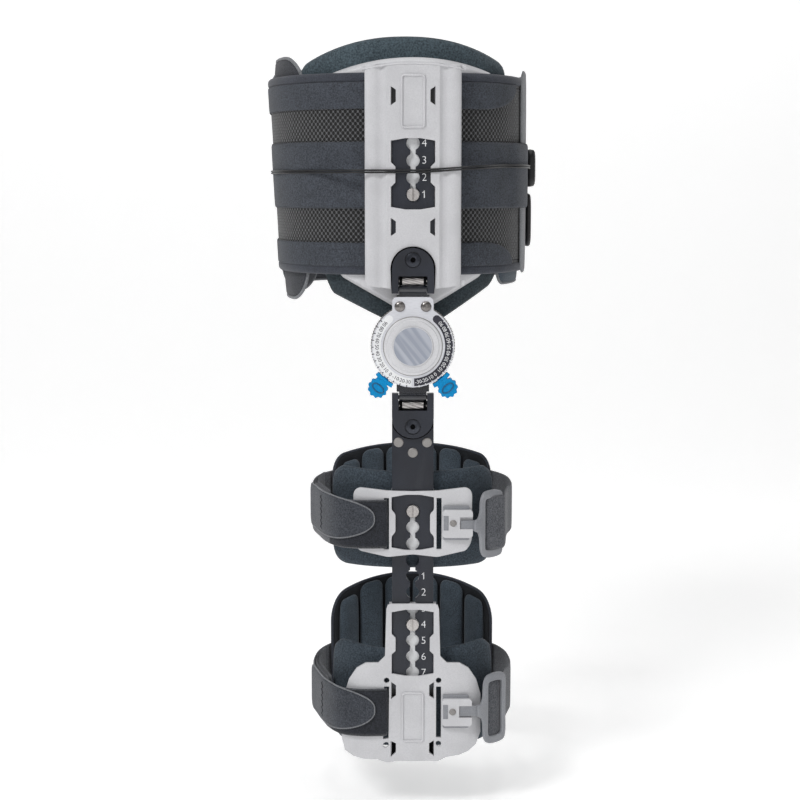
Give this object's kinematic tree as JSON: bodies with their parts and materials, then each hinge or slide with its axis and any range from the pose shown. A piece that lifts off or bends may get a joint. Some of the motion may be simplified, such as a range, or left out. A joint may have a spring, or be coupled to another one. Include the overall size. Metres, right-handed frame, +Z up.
{
  "type": "hip brace",
  "caption": "Hip brace: a waist belt with a side shell and bar sleeve, a dial hinge with stops, and a drilled thigh bar that carries strapped cuffs.",
  "frame": {"origin": "in the waist opening, half way up the belt's mid line, half way through it from side to side and in line with the bar", "axes": "+X to the wearer's back, +Y from the worn hip into the body, +Z up"},
  "size_m": [0.262, 0.3051, 0.6302],
  "materials": {
    "white_plastic": "smooth satin moulding",
    "black_metal": "satin black coating",
    "steel": "plain turned steel",
    "aluminium": "brushed, bare",
    "blue_plastic": "bright blue moulding",
    "grey_plastic": "satin moulding",
    "black_plastic": "satin moulding",
    "label_film": "bare glossy film",
    "spacer_mesh": "knitted spacer mesh with staggered holes",
    "loop_cloth": "brushed loop cloth",
    "panel_cloth": "laminated loop cloth",
    "foam_cloth": "foam with nubby loop cloth",
    "navy_cloth": "quilted loop cloth",
    "webbing": "fuzzy strap cloth"
  },
  "bodies": {
    "pelvis": {"pelvic_belt": "spacer_mesh", "belt_band_top": "loop_cloth", "belt_band_mid": "loop_cloth", "belt_band_low": "loop_cloth", "front_panel": "panel_cloth", "closure_flap": "panel_cloth", "rear_panel": "panel_cloth", "lumbar_pad": "navy_cloth", "pulley_upper": "black_plastic", "pulley_lower": "black_plastic", "pull_cord_upper": "black_plastic", "pull_cord_lower": "black_plastic", "pelvic_shell": "white_plastic", "shell_foam": "foam_cloth", "channel_plate": "white_plastic", "channel_stud": "steel"},
    "upper_arm": {"upper_bar": "black_metal", "upper_clevis": "black_metal", "upper_roller": "steel", "upper_clevis_screw": "black_metal"},
    "hip_dial": {"upper_tongue": "black_metal", "dial_plate": "aluminium", "dial_back_plate": "aluminium", "dial_cap": "aluminium", "dial_label": "label_film", "dial_rivet_left": "steel", "dial_rivet_right": "steel"},
    "flexion_stop_knob": {"flexion_stop": "blue_plastic"},
    "extension_stop_knob": {"extension_stop": "blue_plastic"},
    "hip_link": {"lower_tongue": "black_metal"},
    "thigh": {"lower_clevis": "black_metal", "lower_roller": "steel", "lower_clevis_screw": "black_metal", "thigh_bar": "black_metal", "bar_rivet_left": "steel", "bar_rivet_right": "steel", "bar_rivet_low": "steel"},
    "upper_cuff": {"upper_cuff_plate": "white_plastic", "upper_cuff_stud": "steel", "upper_pad": "foam_cloth", "upper_rear_pad": "navy_cloth", "upper_strap": "webbing", "upper_strap_tab": "webbing", "upper_ring": "grey_plastic", "upper_latch": "white_plastic", "upper_latch_rivet": "steel"},
    "lower_cuff": {"lower_cuff_plate": "white_plastic", "lower_cuff_stud": "steel", "lower_pad": "foam_cloth", "lower_rear_pad": "navy_cloth", "lower_strap": "webbing", "lower_strap_tab": "webbing", "lower_ring": "grey_plastic", "lower_latch": "white_plastic", "lower_latch_rivet": "steel"}
  },
  "joints": [
    {"name": "height_slide", "type": "slide", "parent": "pelvis", "child": "upper_arm", "axis": [0, 0, -1], "range_m": [0, 0.0432]},
    {"name": "upper_abduction", "type": "hinge", "parent": "upper_arm", "child": "hip_dial", "pos_m": [0, -0.148, -0.0988], "axis": [-1, 0, 0], "range_deg": [0, 20]},
    {"name": "hip_flexion", "type": "hinge", "parent": "hip_dial", "child": "hip_link", "pos_m": [0, -0.148, -0.1474], "axis": [0, 1, 0], "range_deg": [0, 70]},
    {"name": "flexion_stop_turn", "type": "hinge", "parent": "hip_dial", "child": "flexion_stop_knob", "pos_m": [0, -0.148, -0.1474], "axis": [0, 1, 0], "range_deg": [0, 70]},
    {"name": "extension_stop_turn", "type": "hinge", "parent": "hip_dial", "child": "extension_stop_knob", "pos_m": [0, -0.148, -0.1474], "axis": [0, -1, 0], "range_deg": [0, 90]},
    {"name": "lower_abduction", "type": "hinge", "parent": "hip_link", "child": "thigh", "pos_m": [0, -0.148, -0.1916], "axis": [-1, 0, 0], "range_deg": [0, 20]},
    {"name": "upper_cuff_slide", "type": "slide", "parent": "thigh", "child": "upper_cuff", "axis": [0, 0, -1], "range_m": [0, 0.0288]},
    {"name": "lower_cuff_slide", "type": "slide", "parent": "thigh", "child": "lower_cuff", "axis": [0, 0, -1], "range_m": [0, 0.0432]}
  ],
  "couplings": [
    {"joint": "flexion_stop_turn", "follows": "hip_flexion", "ratio": 1}
  ]
}
